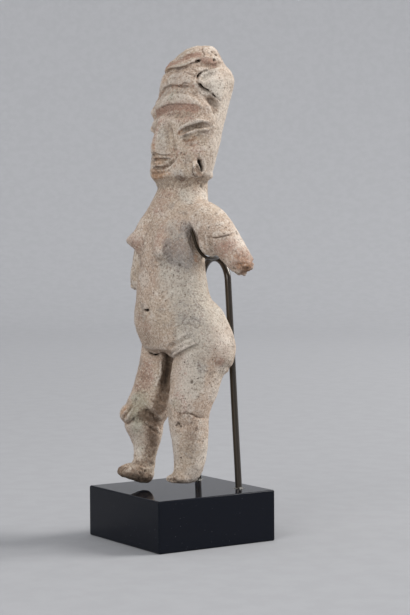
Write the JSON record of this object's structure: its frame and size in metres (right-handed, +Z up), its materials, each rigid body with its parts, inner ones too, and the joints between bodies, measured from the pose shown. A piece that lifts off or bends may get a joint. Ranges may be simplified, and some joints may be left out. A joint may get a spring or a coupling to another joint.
{
  "type": "figurine",
  "caption": "Fired clay figurine of a standing woman with a tall headdress and broken arms, held upright by a bent brass rod and wire on a small black plinth.",
  "frame": {"origin": "centre of the plinth's underside", "axes": "+Z up, the figure faces -Y and its left arm points to +X"},
  "size_m": [0.0527, 0.04, 0.146],
  "materials": {
    "fired_clay": "matte",
    "polished_black": "gloss",
    "dark_brass": "satin"
  },
  "bodies": {
    "root": {"figurine": "fired_clay", "plinth": "polished_black", "support_rod": "dark_brass", "cradle_wire": "dark_brass"}
  },
  "joints": []
}
